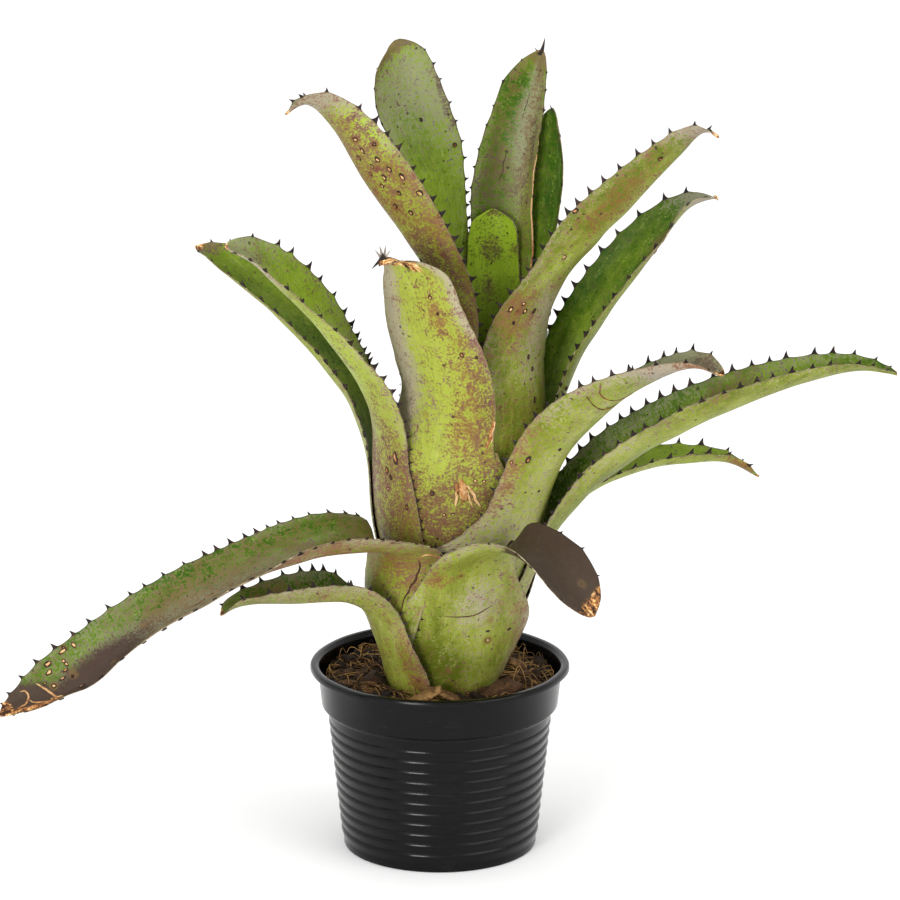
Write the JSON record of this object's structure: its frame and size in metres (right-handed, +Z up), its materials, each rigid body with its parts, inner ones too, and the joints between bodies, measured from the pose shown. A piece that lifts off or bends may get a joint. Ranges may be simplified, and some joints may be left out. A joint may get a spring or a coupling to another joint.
{
  "type": "potted bromeliad",
  "caption": "Upright rosette of spined strap leaves nested as a tank, in a ribbed tapered nursery pot filled with coarse husk mix.",
  "frame": {"origin": "centre of the pot's underside", "axes": "+Z up along the pot, -Y is the plant's front as the picture shows it, +X is to the right seen from the front"},
  "size_m": [0.5081, 0.3048, 0.4737],
  "materials": {
    "pot_plastic": "satin black moulded plastic",
    "husk": "rough brown husk fibres and chips",
    "stem": "pale plant tissue",
    "leaf": "satin leathery green with brown blotches and dark spined margins"
  },
  "bodies": {
    "root": {"pot": "pot_plastic", "husk_mix": "husk", "short_stem": "stem", "leaf_low_left_short": "leaf", "leaf_low_left_long": "leaf", "leaf_front_drooping": "leaf", "leaf_back_low": "leaf", "leaf_right_behind": "leaf", "leaf_right_long": "leaf", "leaf_right_middle": "leaf", "leaf_back_right": "leaf", "leaf_left_behind": "leaf", "leaf_left_arching": "leaf", "leaf_front_upright": "leaf", "leaf_right_inner": "leaf", "leaf_back_middle": "leaf", "leaf_right_upper": "leaf", "leaf_left_upper": "leaf", "leaf_back_narrow": "leaf", "leaf_back_pointed": "leaf", "leaf_back_tall": "leaf", "leaf_centre_young": "leaf"}
  },
  "joints": []
}
